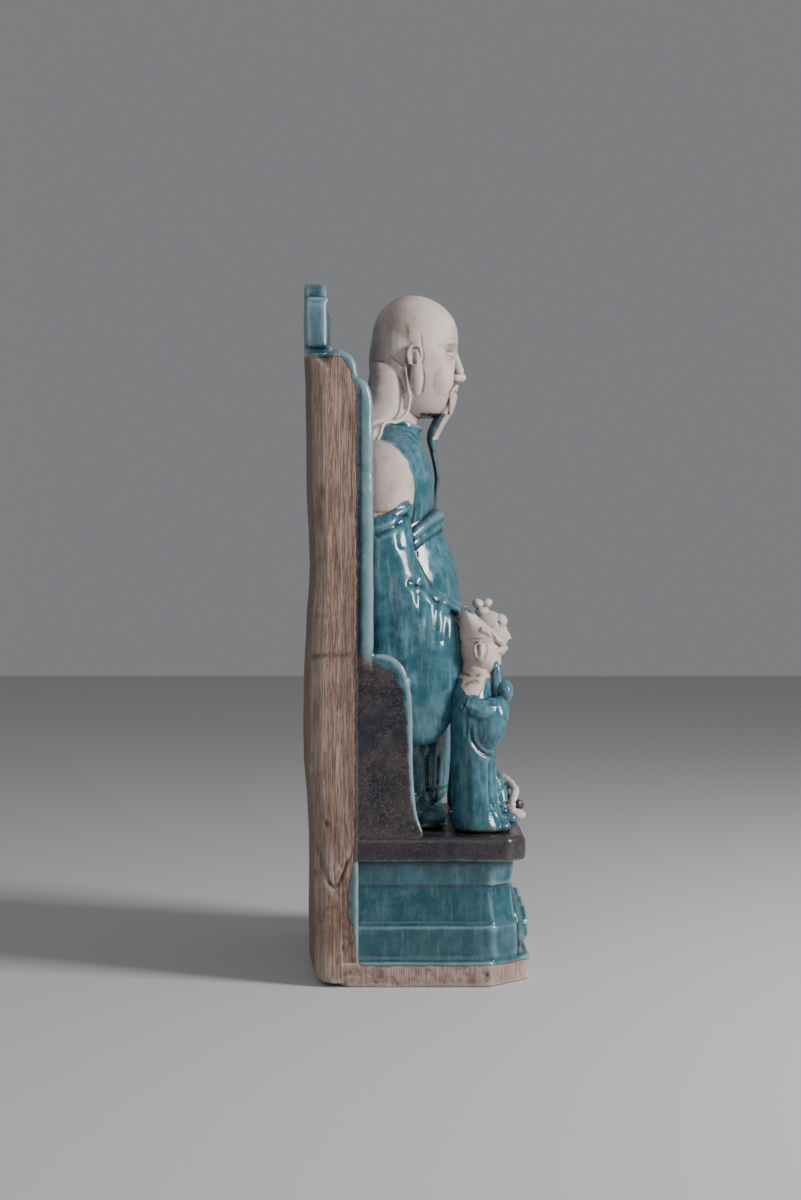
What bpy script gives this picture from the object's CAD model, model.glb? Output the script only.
# %% [markdown]
# # A seated dignitary in glazed ceramic
# The real thing is a group about 39 cm tall. It was pressed and modelled in wet clay, luted together, fired, then
# glazed in turquoise and aubergine, with the heads, the hair and the throne's sides left bare. This lesson builds
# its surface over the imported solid, one clay form at a time, and then glazes it.
# Everything is in the solid's own frame: Z up, the figure facing -Y, its right hand on -X. Sizes are written in
# millimetres, because that is how a modeller would measure the clay, and scaled once.

import math

import bpy
import numpy as np
from mathutils import Euler, Matrix, Vector
from mathutils.bvhtree import BVHTree


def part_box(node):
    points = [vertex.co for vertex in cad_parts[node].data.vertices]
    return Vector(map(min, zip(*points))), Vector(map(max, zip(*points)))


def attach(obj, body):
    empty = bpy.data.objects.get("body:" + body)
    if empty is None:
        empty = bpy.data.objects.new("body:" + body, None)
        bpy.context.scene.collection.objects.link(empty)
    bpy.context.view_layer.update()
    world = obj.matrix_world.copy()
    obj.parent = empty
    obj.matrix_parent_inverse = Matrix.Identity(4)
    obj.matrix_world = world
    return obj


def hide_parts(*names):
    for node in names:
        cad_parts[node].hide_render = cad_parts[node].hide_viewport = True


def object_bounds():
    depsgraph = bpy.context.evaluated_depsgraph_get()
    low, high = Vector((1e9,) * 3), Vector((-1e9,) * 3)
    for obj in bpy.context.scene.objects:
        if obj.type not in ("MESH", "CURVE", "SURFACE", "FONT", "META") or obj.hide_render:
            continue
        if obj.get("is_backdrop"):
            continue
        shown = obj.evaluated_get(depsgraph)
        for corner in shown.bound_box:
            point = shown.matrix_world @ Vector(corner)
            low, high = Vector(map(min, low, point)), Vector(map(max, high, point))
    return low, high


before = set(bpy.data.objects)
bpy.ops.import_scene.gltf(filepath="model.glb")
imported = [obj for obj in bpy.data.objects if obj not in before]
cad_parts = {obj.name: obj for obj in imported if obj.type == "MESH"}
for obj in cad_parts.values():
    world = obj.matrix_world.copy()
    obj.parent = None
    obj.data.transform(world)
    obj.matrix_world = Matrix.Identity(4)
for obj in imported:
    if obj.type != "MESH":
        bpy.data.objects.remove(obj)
cad_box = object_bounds()
MM = 0.001
NODE = "seated_dignitary_group"
low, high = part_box(NODE)
print("the solid spans", [round((b - a) / MM, 1) for a, b in zip(low, high)], "mm")

# %% [markdown]
# ## Camera, floor and light
# The photograph looks at the figure's right side, level with its lap, through a short telephoto lens. The camera
# stands a metre from the near side. The stage is a pale sweep of paper, and the light is one large soft window
# ahead of the figure and above, with a weak fill, so the glaze shows long soft highlights.

# %% Camera
bpy.ops.object.camera_add(location=(-1.088, 0.0081, 0.2068), rotation=(math.radians(90), 0, math.radians(-90)))
camera = bpy.context.object
camera.name = "camera"
camera.data.sensor_fit = "AUTO"
camera.data.lens = 56.28
camera.data.clip_end = 30
bpy.context.scene.camera = camera
print("lens", round(camera.data.lens, 2), "mm")


# %% Floor and lights
def deselect():
    """Back to object mode with nothing selected, as before any piece is started."""
    if bpy.context.mode != "OBJECT":
        bpy.ops.object.mode_set(mode="OBJECT")
    bpy.ops.object.select_all(action="DESELECT")


deselect()
bpy.ops.mesh.primitive_plane_add(size=1, location=(0, 0, 0))
floor = bpy.context.object
floor.name = "floor"
bpy.ops.object.mode_set(mode="EDIT")
bpy.ops.mesh.select_all(action="SELECT")
bpy.ops.transform.resize(value=(8, 8, 1))
bpy.ops.object.mode_set(mode="OBJECT")
paper = bpy.data.materials.new("stage_paper")
paper.use_nodes = True
paper.node_tree.nodes["Principled BSDF"].inputs["Base Color"].default_value = (0.62, 0.61, 0.6, 1)
paper.node_tree.nodes["Principled BSDF"].inputs["Roughness"].default_value = 0.7
floor.data.materials.append(paper)
floor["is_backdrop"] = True

world = bpy.data.worlds.new("studio")
bpy.context.scene.world = world
world.use_nodes = True
world.node_tree.nodes["Background"].inputs["Color"].default_value = (0.86, 0.88, 0.92, 1)
world.node_tree.nodes["Background"].inputs["Strength"].default_value = 0.24


def window(name, place, aim, size, power):
    """A soft rectangular light that faces a point."""
    bpy.ops.object.light_add(type="AREA", location=place)
    light = bpy.context.object
    light.name = name
    light.rotation_euler = (Vector(aim) - Vector(place)).to_track_quat("-Z", "Y").to_euler()
    light.data.shape = "RECTANGLE"
    light.data.size, light.data.size_y = size
    light.data.energy = power
    return light


window("key_window", (-0.5, -1.08, 0.66), (0, 0, 0.24), (0.34, 0.5), 23)
window("fill_window", (-1.7, 0.35, 0.9), (0, 0, 0.2), (1.2, 1.2), 6)
print("stage ready")

# %% [markdown]
# ## The modelling table
# A clay figure grows from a few kinds of form: coils, pressed slabs, balls, and columns built up ring by ring. Each
# helper below makes one of these with Blender's own primitives and edit-mode moves. Every form also remembers its
# finish, bare clay or one of the two glazes, as its material, so the finish can be found again once all is joined.

# %% Finishes as materials
FINISHES = ("bare", "turquoise", "aubergine")
for finish in FINISHES:
    bpy.data.materials.new("form_" + finish)


def finished(piece, name, finish):
    """Names a form, gives it its finish, and leaves it in object mode."""
    piece.name = name
    piece.data.materials.clear()
    piece.data.materials.append(bpy.data.materials["form_" + finish])
    return piece


def modify(piece, kind, **settings):
    """Adds one modifier, sets it and applies it."""
    deselect()
    bpy.context.view_layer.objects.active = piece
    piece.select_set(True)
    modifier = piece.modifiers.new(kind.lower(), kind)
    for key, value in settings.items():
        setattr(modifier, key, value)
    bpy.ops.object.modifier_apply(modifier=modifier.name)
    return piece


# %% Columns built ring by ring
def column(name, finish, rows, x=0, sides=24, square=1.0, soft=2):
    """rows run upwards: height, half-width, front, back, and how far the ring is off x. A ring is extruded and
    resized for each row, as a potter raises a wall. square under 1 makes the rings boxier."""
    deselect()
    bpy.ops.mesh.primitive_circle_add(vertices=sides, radius=1, fill_type="NGON", location=(0, 0, 0))
    piece = bpy.context.object
    for v in piece.data.vertices:
        v.co.x = math.copysign(abs(v.co.x) ** square, v.co.x)
        v.co.y = math.copysign(abs(v.co.y) ** square, v.co.y)
    bpy.ops.object.mode_set(mode="EDIT")
    bpy.ops.mesh.select_all(action="SELECT")
    was = None
    for row in rows:
        z, half, front, back = row[:4]
        centre = Vector((x + (row[4] if len(row) > 4 else 0), (front + back) / 2, z)) * MM
        size = (half * MM, (back - front) / 2 * MM)
        if was is None:
            bpy.ops.transform.resize(value=(size[0], size[1], 1), center_override=(0, 0, 0))
            bpy.ops.transform.translate(value=centre)
        else:
            bpy.ops.mesh.extrude_region_move(TRANSFORM_OT_translate={"value": centre - was[0]})
            ratio = (size[0] / was[1][0], size[1] / was[1][1], 1)
            bpy.ops.transform.resize(value=ratio, center_override=centre)
        was = (centre, size)
    bpy.ops.mesh.select_all(action="SELECT")
    bpy.ops.mesh.normals_make_consistent(inside=False)
    deselect()
    if soft:
        modify(piece, "SUBSURF", levels=soft, render_levels=soft)
    return finished(piece, name, finish)


# %% Balls, coils and slabs
def ball(name, finish, centre, radii, turn=(0, 0, 0)):
    """A ball of clay pressed to an egg, turned by angles in degrees."""
    deselect()
    bpy.ops.mesh.primitive_uv_sphere_add(segments=32, ring_count=20, radius=1, location=(0, 0, 0))
    piece = bpy.context.object
    piece.matrix_world = (
        Matrix.Translation(Vector(centre) * MM)
        @ Euler([math.radians(a) for a in turn]).to_matrix().to_4x4()
        @ Matrix.Diagonal((*[r * MM for r in radii], 1))
    )
    bpy.ops.object.transform_apply(location=True, rotation=True, scale=True)
    return finished(piece, name, finish)


def coil(name, finish, points, closed=False):
    """A rolled coil of clay through points, each x, y, z and radius."""
    deselect()
    line = bpy.data.curves.new(name, "CURVE")
    line.dimensions = "3D"
    line.resolution_u = 8
    line.bevel_depth = MM
    line.bevel_resolution = 4
    line.use_fill_caps = True
    spline = line.splines.new("BEZIER")
    spline.bezier_points.add(len(points) - 1)
    for knot, (x, y, z, radius) in zip(spline.bezier_points, points):
        knot.co = Vector((x, y, z)) * MM
        knot.radius = radius
        knot.handle_left_type = knot.handle_right_type = "AUTO"
    spline.use_cyclic_u = closed
    piece = bpy.data.objects.new(name, line)
    bpy.context.collection.objects.link(piece)
    bpy.context.view_layer.objects.active = piece
    piece.select_set(True)
    bpy.ops.object.convert(target="MESH")
    return finished(modify(bpy.context.object, "WELD", merge_threshold=0.00002), name, finish)


def bend(a, b, c, steps=6):
    """Points of a rounded corner from a to c, drawn towards b."""
    spots = [i / steps for i in range(steps + 1)]
    return [tuple((1 - t) ** 2 * p + 2 * t * (1 - t) * q + t * t * r for p, q, r in zip(a, b, c)) for t in spots]


TURNS = {
    "side": Matrix(((0, 0, 1, 0), (1, 0, 0, 0), (0, 1, 0, 0), (0, 0, 0, 1))),
    "front": Matrix(((1, 0, 0, 0), (0, 0, -1, 0), (0, 1, 0, 0), (0, 0, 0, 1))),
}


def slab(name, finish, outline, span, seen="side", round_by=1.0):
    """A slab of clay cut to an outline as seen from the side, in y and z, or from the front, in x and z. span is
    where it starts and ends along the line of sight."""
    deselect()
    line = bpy.data.curves.new(name, "CURVE")
    line.dimensions = "2D"
    line.fill_mode = "BOTH"
    line.extrude = ((span[1] - span[0]) / 2 - round_by) * MM
    line.bevel_depth = round_by * MM
    line.offset = -round_by * MM
    line.bevel_resolution = 3
    spline = line.splines.new("POLY")
    spline.points.add(len(outline) - 1)
    for knot, (a, b) in zip(spline.points, outline):
        knot.co = (a * MM, b * MM, 0, 1)
    spline.use_cyclic_u = True
    piece = bpy.data.objects.new(name, line)
    bpy.context.collection.objects.link(piece)
    bpy.context.view_layer.objects.active = piece
    piece.select_set(True)
    bpy.ops.object.convert(target="MESH")
    piece = bpy.context.object
    middle = (span[0] + span[1]) / 2 * MM
    away = Vector((middle, 0, 0)) if seen == "side" else Vector((0, middle, 0))
    piece.matrix_world = Matrix.Translation(away) @ TURNS[seen]
    bpy.ops.object.transform_apply(location=True, rotation=True, scale=True)
    modify(piece, "WELD", merge_threshold=0.00002)
    return finished(piece, name, finish)


def brick(name, finish, x, y, z, round_by=1.5, steps=3):
    """A cut block with rounded edges, between two places each way."""
    deselect()
    bpy.ops.mesh.primitive_cube_add(size=1, location=(0, 0, 0))
    piece = bpy.context.object
    bpy.ops.object.mode_set(mode="EDIT")
    bpy.ops.mesh.select_all(action="SELECT")
    bpy.ops.transform.resize(value=[(b - a) * MM for a, b in (x, y, z)], center_override=(0, 0, 0))
    bpy.ops.transform.translate(value=[(a + b) / 2 * MM for a, b in (x, y, z)])
    if round_by:
        bpy.ops.mesh.bevel(offset=round_by * MM, segments=steps)
    deselect()
    return finished(piece, name, finish)


def pair(make):
    """The same form on the figure's right, -1, and left, +1."""
    return [make(-1), make(1)]


print("helpers ready")

# %% [markdown]
# ## Plinth
# The plinth is a stack of rectangular tiers with canted front corners: a bare foot band, a low step, a cornice, a
# dado that leans back, an upper step and the slab that carries the figures. Each tier is a block whose front
# corners are bevelled away and whose top is drawn in or out.

# %% Tiers
HALF, FRONT, REAR = 88, -64, 64


def tier(name, finish, z, half, front, cant, round_by=0.8):
    """half and front are the tier's bottom and top half-width and front; cant is the corner cut back and across."""
    deselect()
    bpy.ops.mesh.primitive_cube_add(size=1, location=(0, 0, 0))
    piece = bpy.context.object
    for v in piece.data.vertices:
        top = v.co.z > 0
        side = math.copysign(half[top], v.co.x)
        v.co = Vector((side, front[top] if v.co.y < 0 else 52, z[top])) * MM
    shape = piece.data
    bpy.ops.object.mode_set(mode="EDIT")
    bpy.ops.mesh.select_all(action="DESELECT")
    bpy.ops.mesh.select_mode(type="EDGE")
    bpy.ops.object.mode_set(mode="OBJECT")
    for edge in shape.edges:
        a, b = (shape.vertices[i].co for i in edge.vertices)
        edge.select = a.y < 0 and b.y < 0 and abs(a.z - b.z) > 0.001
    bpy.ops.object.mode_set(mode="EDIT")
    bpy.ops.mesh.bevel(offset=cant * MM, segments=1, clamp_overlap=False)
    deselect()
    modify(piece, "BEVEL", width=round_by * MM, segments=3, limit_method="ANGLE", angle_limit=0.4)
    return finished(piece, name, finish)


plinth = [
    tier("foot_band", "bare", (0, 14), (87.4, 88), (-62, -62.4), 22, 1.6),
    tier("low_step", "turquoise", (11, 17), (86.4, 85.6), (-60, -57.6), 19, 0.8),
    tier("cornice", "turquoise", (14, 33), (85.6, 84.6), (-55.4, -54.6), 13, 2),
    tier("dado", "turquoise", (30, 55), (83, 80.8), (-54.4, -50.8), 12, 1),
    tier("upper_step", "turquoise", (53, 68), (82.2, 83.2), (-52.2, -53.4), 11, 1.8),
    tier("slab", "aubergine", (66.6, 80), (87.2, 87.2), (-59.4, -59.4), 9.5, 2.6),
]
print(len(plinth), "tiers")

# %% [markdown]
# The front of the foot swells into an apron with three lobes, as on a carved table of the time. Each lobe is a low
# column, flattened against the dado, with a smaller one laid on it as a raised cloud scroll.

# %% Apron
for place, half, top in ((0, 27, 46), (-33, 22, 42), (33, 22, 42)):
    lobe = [(13, half), (24, half * 0.99), (33, half * 0.9), (39, half * 0.72), (top, half * 0.45)]
    swell = [(-62.2), (-62.4), (-60.6), (-57.4), (-52.6)]
    rows = [(z, h, out, -44) for (z, h), out in zip(lobe, swell)]
    plinth.append(column("apron_lobe", "turquoise", rows, x=place, square=0.75))
    scroll = [
        (place + half * 0.5 * math.sin(a) * (1 - a / 9), -60.8 + a * 0.3, 26 + 7.5 * math.cos(a) * (1 - a / 9), 1.5)
        for a in np.linspace(-2.2, 5.2, 12)
    ]
    plinth.append(coil("cloud_scroll", "turquoise", scroll))

# %% [markdown]
# ## Throne
# The back is one thick plank, bowed behind, that rises to a stepped crest. Two side wings stand forward from it with
# a rounded lobe and a glazed roll down their front edge, and step down to the arms. The outlines are cut from slabs.

# %% Throne back and crest
CREST = 34
WING = 339
panel = [(-HALF, 2), (HALF, 2), (HALF, WING - 9)]
panel += bend((HALF, WING - 9), (HALF - 2, WING + 1), (HALF - 20, WING + 2))
panel += bend((HALF - 20, WING + 2), (CREST + 8, WING + 3), (CREST - 2, WING + 11))
panel += [(-x, z) for x, z in reversed(panel[3:])] + [(-HALF, WING - 9)]
crest = [(-CREST, 300), (CREST, 300), (CREST, 373)]
crest += bend((CREST, 373), (CREST - 0.5, 377), (CREST - 6, 377.5))
crest += bend((CREST - 6, 377.5), (CREST - 10, 387.6), (0, 389.6), 10)
crest += [(-x, z) for x, z in reversed(crest[3:])] + [(-CREST, 373)]
throne = [
    slab("back_plank", "bare", panel, (47.5, 64), "front", 1.6),
    slab("crest", "turquoise", crest, (50.8, 63.8), "front", 1.8),
    slab("crest_ridge", "turquoise", [(-33, 374.4), (33, 374.4), (33, 377.4), (-33, 377.4)], (49.9, 62.8), "front", 1),
]


# %% Wings, rolls and arms
def wing(side):
    outline = [(30.6, 4), (58, 4), (58, WING - 4)] + bend((58, WING - 4), (47, WING + 1.4), (40, WING + 0.2))
    outline += bend((40, WING + 0.2), (34.4, WING - 1), (33.4, WING - 9)) + [(31.6, WING - 12.4), (30.6, WING - 16)]
    return slab("wing", "bare", outline, sorted((side * 77.2, side * 87.7)), "side", 1.4)


def wing_core(side):
    """The wing's inner thickness, which the roll is laid on."""
    outline = [(25, 80), (50, 80), (50, 330), (33, 330), (27, 322), (25, 316)]
    return slab("wing_core", "turquoise", outline, sorted((side * 77, side * 86.6)), "side", 1.4)


def wing_lip(side):
    """The glaze that ran over the lobe's top and gathered on its edge, as a thin coil."""
    top = [(55, WING - 2), (47, WING - 0.2), (40, WING - 1.4), (35.4, WING - 5), (34, WING - 10.4), (32, WING - 14.6)]
    return coil("wing_lip", "turquoise", [(side * 84.6, y, z - 1, 3.1) for y, z in top])


def roll(side):
    """The bead down the wing's front edge, with a rounded shoulder."""
    outline = [(22.4, 168), (30.8, 168), (31.4, WING - 14)] + bend((31.4, WING - 14), (24, WING - 12.4), (22.8, WING - 27))
    return slab("front_roll", "turquoise", outline, sorted((side * 76, side * 88.4)), "side", 3.2)


def arm(side):
    outline = [(-3.2, 78), (50, 78), (50, 177)] + bend((20, 177.5), (6.5, 177), (4, 156))
    outline += bend((4, 156), (1.6, 140), (1.4, 112)) + bend((1.4, 112), (0.6, 92), (-3.2, 79))
    return slab("arm_panel", "aubergine", outline, sorted((side * 77, side * 86.8)), "side", 2.6)


def arm_lip(side):
    """A run of glaze along the arm's rounded front."""
    edge = [(27, 175.6), (17, 175.8), (9.8, 172), (5.6, 163), (3.4, 148), (2.8, 128), (2.2, 108), (0.6, 92), (-2.6, 80)]
    radii = (2, 2.2, 2, 1.8, 1.5, 1.3, 1.3, 1.5, 2)
    return coil("arm_lip", "turquoise", [(side * 85, y, z, r) for (y, z), r in zip(edge, radii)])


for make in (wing, wing_core, wing_lip, roll, arm, arm_lip):
    throne += pair(make)
throne.append(brick("seat", "turquoise", (-78, 78), (3, 50), (78, 165)))
print(len(throne), "throne forms")

# %% [markdown]
# ## The dignitary's body
# The body is a column in the niche: a broad lap, a round belly, a chest that narrows to the neck. The sleeves hang
# from bare shoulders under a ruffled hem and close over the hands on the knees.

# %% Torso, lap and skirt
body = [
    column(
        "torso",
        "turquoise",
        [
            (150, 32, -14, 50), (170, 42, -22.6, 50), (188, 48, -26.6, 50), (201, 49, -27.6, 50),
            (213, 47, -27.2, 50), (224, 45, -25, 49), (235, 43, -22, 48.5), (244, 42.6, -18, 48.5),
            (254, 44, -13.4, 48.5), (262, 48, -11.8, 48.5), (274, 53, -12.2, 48.5), (284, 53, -9.8, 48),
            (291, 49, -6.8, 46), (297, 38, -5, 42), (302, 25, -3.4, 34), (306, 19.4, -3.4, 30), (309, 17.4, -3.2, 28.4),
        ],
        square=0.92,
    ),
    column(
        "skirt",
        "turquoise",
        [
            (79.5, 49, -4, 44), (87, 51, -6, 44), (91.5, 54.6, -14, 44), (95, 57, -18.6, 44), (100, 57, -19.6, 44),
            (122, 55.4, -20.6, 44), (146, 55, -23, 44), (168, 55.5, -25, 44), (184, 53, -24, 44), (198, 46, -17, 44),
        ],
        square=0.78,
        sides=32,
    ),
]  # fmt: skip
body += pair(lambda side: ball("knee", "turquoise", (side * 31, -6, 184), (21, 23, 20)))


# %% Sleeves, shoulders and hems
def sleeve(side):
    rows = [
        (126, 6, -10, 16, side * 7.6), (134, 11.4, -17, 26, side * 6), (146, 15.4, -23, 36, side * 4),
        (160, 18, -26.6, 42, side * 2), (176, 19.4, -27.6, 45, side * 0.6), (192, 20, -26.2, 46, 0),
        (201, 20.4, -21.6, 46, 0), (210, 20.4, -12.2, 46, side * 0.4), (220, 20, -5, 45, side * 0.6),
        (232, 19.4, 0, 43, 0), (246, 18, 1.6, 38, -side * 2.4), (258, 16.6, 1.8, 34, -side * 6),
    ]  # fmt: skip
    return column("sleeve", "turquoise", rows, x=side * 51, square=0.95)


def sleeve_front(side):
    """The sleeve's front edge turns in to meet the belly along one long crease."""
    rows = [(146, 9, -21, 8), (164, 13, -26, 10), (182, 14, -26.6, 12), (193, 14, -25, 14), (201, 13.6, -21.2, 16)]
    rows += [(210, 12.4, -12.4, 18), (220, 11, -5.2, 18), (232, 10, -0.2, 18), (246, 9, 1.6, 18), (256, 6, 3, 18)]
    return column("sleeve_front", "turquoise", rows, x=side * 44)


def shoulder(side):
    rows = [(246, 17, 2, 34), (257, 18.2, 0.4, 36), (268, 18.8, -0.8, 37), (278, 18.2, -0.4, 37), (286, 16.2, 2.6, 35)]
    return column("shoulder", "turquoise", rows + [(292, 13, 6.8, 31), (296.4, 7, 12, 26)], x=side * 42.6)


def hem(side):
    """The rolled top of the sleeve: a thick run of glazed clay outside, thin and high in front."""
    points = []
    for i in range(24):
        a = 2 * math.pi * i / 24
        ahead = math.cos(a)
        z = 249.4 + (11 * ahead if ahead > 0 else 3 * ahead) + 0.9 * math.cos(5 * a + side)
        points.append((side * (43.4 + 15.4 * math.sin(a)), 17.5 - 15.6 * ahead, z, 3.1 - 1.7 * ahead**2))
    return coil("sleeve_hem", "turquoise", points, closed=True)


def forearm(side):
    """The forearm rests on the lap and the cuff closes over the hand on the knee."""
    points = [(side * 58, 14, 212, 9), (side * 53, -4, 205, 11), (side * 45, -17, 199.6, 9.4), (side * 36, -23, 197, 7)]
    return coil("forearm", "turquoise", points)


for make in (sleeve, sleeve_front, shoulder, hem, forearm):
    body += pair(make)
body += pair(lambda side: ball("hand", "turquoise", (side * 29, -26.4, 195), (7.4, 4.8, 4.6), (0, 0, side * 20)))

# %% [markdown]
# The sash is a thick doubled coil, low at the sides and high over the belly. The feet are round-toed shoes, half
# under the skirt, each on a dark sole.

# %% Sash, collar and feet
for shift in (-2.6, 2.6):
    strand = []
    for a in np.linspace(-1.45, 1.45, 19):
        lump = 0.5 * math.cos(7 * a + shift)
        strand.append((43.4 * math.sin(a), 15 - 29.4 * math.cos(a), 253.5 - 11 * a * a + shift, 3.5 + 0.25 * lump))
    body.append(coil("sash", "turquoise", strand))
collar = []
for a in np.linspace(0, 2 * math.pi, 17)[:-1]:
    collar.append((17.4 * math.sin(a), 11.6 - 15 * math.cos(a), 309.4 - 3.8 * math.cos(a), 1.25))
body.append(coil("collar", "turquoise", collar, closed=True))
body += pair(lambda side: ball("shoe", "turquoise", (side * 44, -5, 86.4), (8.6, 12.4, 7.4)))
body += pair(lambda side: ball("shoe_top", "turquoise", (side * 46, 1, 90), (8.4, 10, 9)))
body += pair(lambda side: ball("sole", "aubergine", (side * 44, -5.4, 81.6), (8.8, 12, 2.4)))
print(len(body), "body forms")

# %% [markdown]
# ## Head and hair
# The head follows the plain canon used for figures of this kind: the eyes halfway up, the brow, nose and chin
# dividing the face in thirds, long ear lobes. The long hair is a curtain that opens behind the ears and spreads on
# the shoulders. It is hollow towards the neck, so its edge is thin and catches the light.

# %% Skull and features
CHIN, CROWN = 312, 383
TALL = CROWN - CHIN


def up(share):
    """A height on the head, from 0 at the chin to 1 at the crown."""
    return CHIN + TALL * share


skull = [
    (up(0), 8, -16, 8), (up(0.04), 13.4, -20, 14), (up(0.14), 17.6, -22.6, 19.6), (up(0.28), 21.2, -23.4, 23),
    (up(0.42), 23, -23.4, 24.6), (up(0.56), 24, -25.4, 25.2), (up(0.7), 23.8, -26, 25), (up(0.82), 21.6, -23, 22.6),
    (up(0.92), 16.4, -16.6, 17.6), (up(0.98), 9.4, -8.4, 10.4), (up(1.0), 4, -2.4, 4.6),
]  # fmt: skip
face = [column("skull", "bare", skull), column("neck", "bare", [(298, 15, 0, 27), (310, 14.2, -2, 25), (326, 15, -6, 25)])]
face += [
    coil("nose_bridge", "bare", [(0, -22.2, up(0.57), 1.7), (0, -24.4, up(0.47), 2.3), (0, -26.2, up(0.37), 2.9)]),
    ball("nose_tip", "bare", (0, -26.4, up(0.335)), (3.5, 3.5, 3)),
    ball("chin", "bare", (0, -17.2, up(0.075)), (8.6, 5.6, 5.6)),
    coil("upper_lip", "bare", [(-6.2, -21.6, up(0.222), 0.9), (-2.2, -23.6, up(0.236), 1.5), (0, -23.8, up(0.228), 1.4),
                               (2.2, -23.6, up(0.236), 1.5), (6.2, -21.6, up(0.222), 0.9)]),
    coil("lower_lip", "bare", [(-5.2, -21.4, up(0.198), 0.9), (0, -23.2, up(0.186), 1.9), (5.2, -21.4, up(0.198), 0.9)]),
]  # fmt: skip
for side in (-1, 1):
    face += [
        ball("nostril", "bare", (side * 3.4, -24.2, up(0.325)), (2.3, 3, 2.2)),
        ball("cheek", "bare", (side * 8.6, -10, up(0.33)), (10.4, 12.6, 15)),
        coil("brow", "bare", [(side * 19, -13.6, up(0.57), 1.4), (side * 12.6, -20, up(0.605), 2.3),
                              (side * 6, -22.6, up(0.595), 2.3), (side * 2, -22.8, up(0.57), 1.6)]),
        ball("eyelid", "bare", (side * 10.4, -19.4, up(0.5)), (5.8, 3.2, 3.5), (0, 0, side * 22)),
        ball("ear_top", "bare", (side * 24, 0, up(0.47)), (2.4, 3.9, 6), (0, 0, side * 10)),
        ball("ear_lobe", "bare", (side * 24, -0.9, up(0.3)), (3, 4, 11.4), (0, 0, side * 10)),
        coil("ear_rim", "bare", [(side * 24.6, -3.4, up(0.42), 1), (side * 25.4, -3.7, up(0.48), 1.1),
                                 (side * 25.8, -2.2, up(0.54), 1.2), (side * 26, 1, up(0.55), 1.2),
                                 (side * 25.8, 3.6, up(0.5), 1.1), (side * 25.2, 3, up(0.4), 1)]),
    ]  # fmt: skip

# %% Hair curtain
hair_rows = [
    (258, 50, 30, 49), (274, 51.2, 26, 49), (287, 49, 23.4, 48), (293, 47.4, 21.6, 47), (299, 44.6, 19.2, 45.6),
    (304, 41.4, 18, 44), (306.6, 37, 14.6, 42), (308.8, 31.4, 8, 38), (313, 28.4, 4.8, 33.6), (318, 26.6, 3.6, 30.4),
    (325, 25.6, 3.6, 28.4), (331, 25, 4.4, 27.2), (336, 24, 5.8, 26.4), (340, 22.4, 8.4, 25.8), (344, 19, 12, 25),
]  # fmt: skip
hair = column("hair", "bare", hair_rows, sides=28, square=0.7)
hollow = column(
    "hair_hollow",
    "bare",
    [(294, 31, -20, 11), (302, 29, -20, 12), (307, 26.4, -20, 12), (312, 24.4, -20, 12), (320, 23, -20, 12), (330, 22, -20, 10)],
    square=0.7,
)
modify(hair, "BOOLEAN", object=hollow, operation="DIFFERENCE", solver="EXACT")
bpy.data.objects.remove(hollow)
face += [hair, ball("hair_back", "bare", (0, 5.2, 345), (24.2, 21.2, 34))]


def hair_rim(side):
    """The thin rolled edge of the curtain, from behind the ear down on to the shoulder."""
    path = [(22.6, 6.4, 341), (23.8, 5, 337), (24.6, 4, 331.2), (25.2, 3.2, 324.7), (25.8, 3.2, 318.2), (27, 4.4, 313.2), (29.4, 7.3, 309)]
    path += [(32.4, 10.9, 306.9), (37, 15.6, 306.6), (40.4, 18, 304.2), (43.8, 19.3, 298.8), (46.6, 21.7, 293)]
    path += [(48.4, 23.4, 287), (50.4, 26, 276), (50.4, 29, 264)]
    return coil("hair_rim", "bare", [(side * x, y, z, 1.1) for x, y, z in path])


face += pair(hair_rim)

# %% [markdown]
# The beard is one flat tongue of clay that hangs free of the throat and then lies down the chest, waving a little.
# A thin moustache joins it at the corners of the mouth.

# %% Beard and moustache
beard_line = [
    (257, 2.4, -12.6, 3), (262, 4, -13.3, 3), (270, 5.2, -13.9, 3), (275, 6, -15.2, 3.6), (279.6, 6.6, -15.2, 3.6),
    (288.6, 7.6, -13.2, 3.4), (296, 8.4, -12.4, 4.4), (300, 8.8, -13.4, 7), (307.8, 9.2, -17.4, 9.6),
    (315.3, 9.4, -22.2, 9), (320.5, 8.6, -24.6, 7), (325, 7.2, -25, 5.4), (329, 4.6, -25, 4),
]  # fmt: skip
beard_rows = [(z, half, front, front + thick) for z, half, front, thick in beard_line]
face.append(column("beard", "bare", beard_rows, sides=16))
for side in (-1, 1):
    path = [(1.4, -24.6, 0.262), (5, -23.8, 0.25), (8, -21.4, 0.2), (8.8, -20.6, 0.1), (7.8, -20.4, 0.02)]
    face.append(coil("moustache", "bare", [(side * x, y, up(s), 1.1 - 0.1 * i) for i, (x, y, s) in enumerate(path)]))
print(len(face), "head forms")

# %% [markdown]
# ## Attendants
# The two attendants are small standing columns with wide sleeves. The near one wears a sloping cap and holds a
# wrapped bundle under the chin. The far one leans forward, wears a topknot and holds a scroll.


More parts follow.
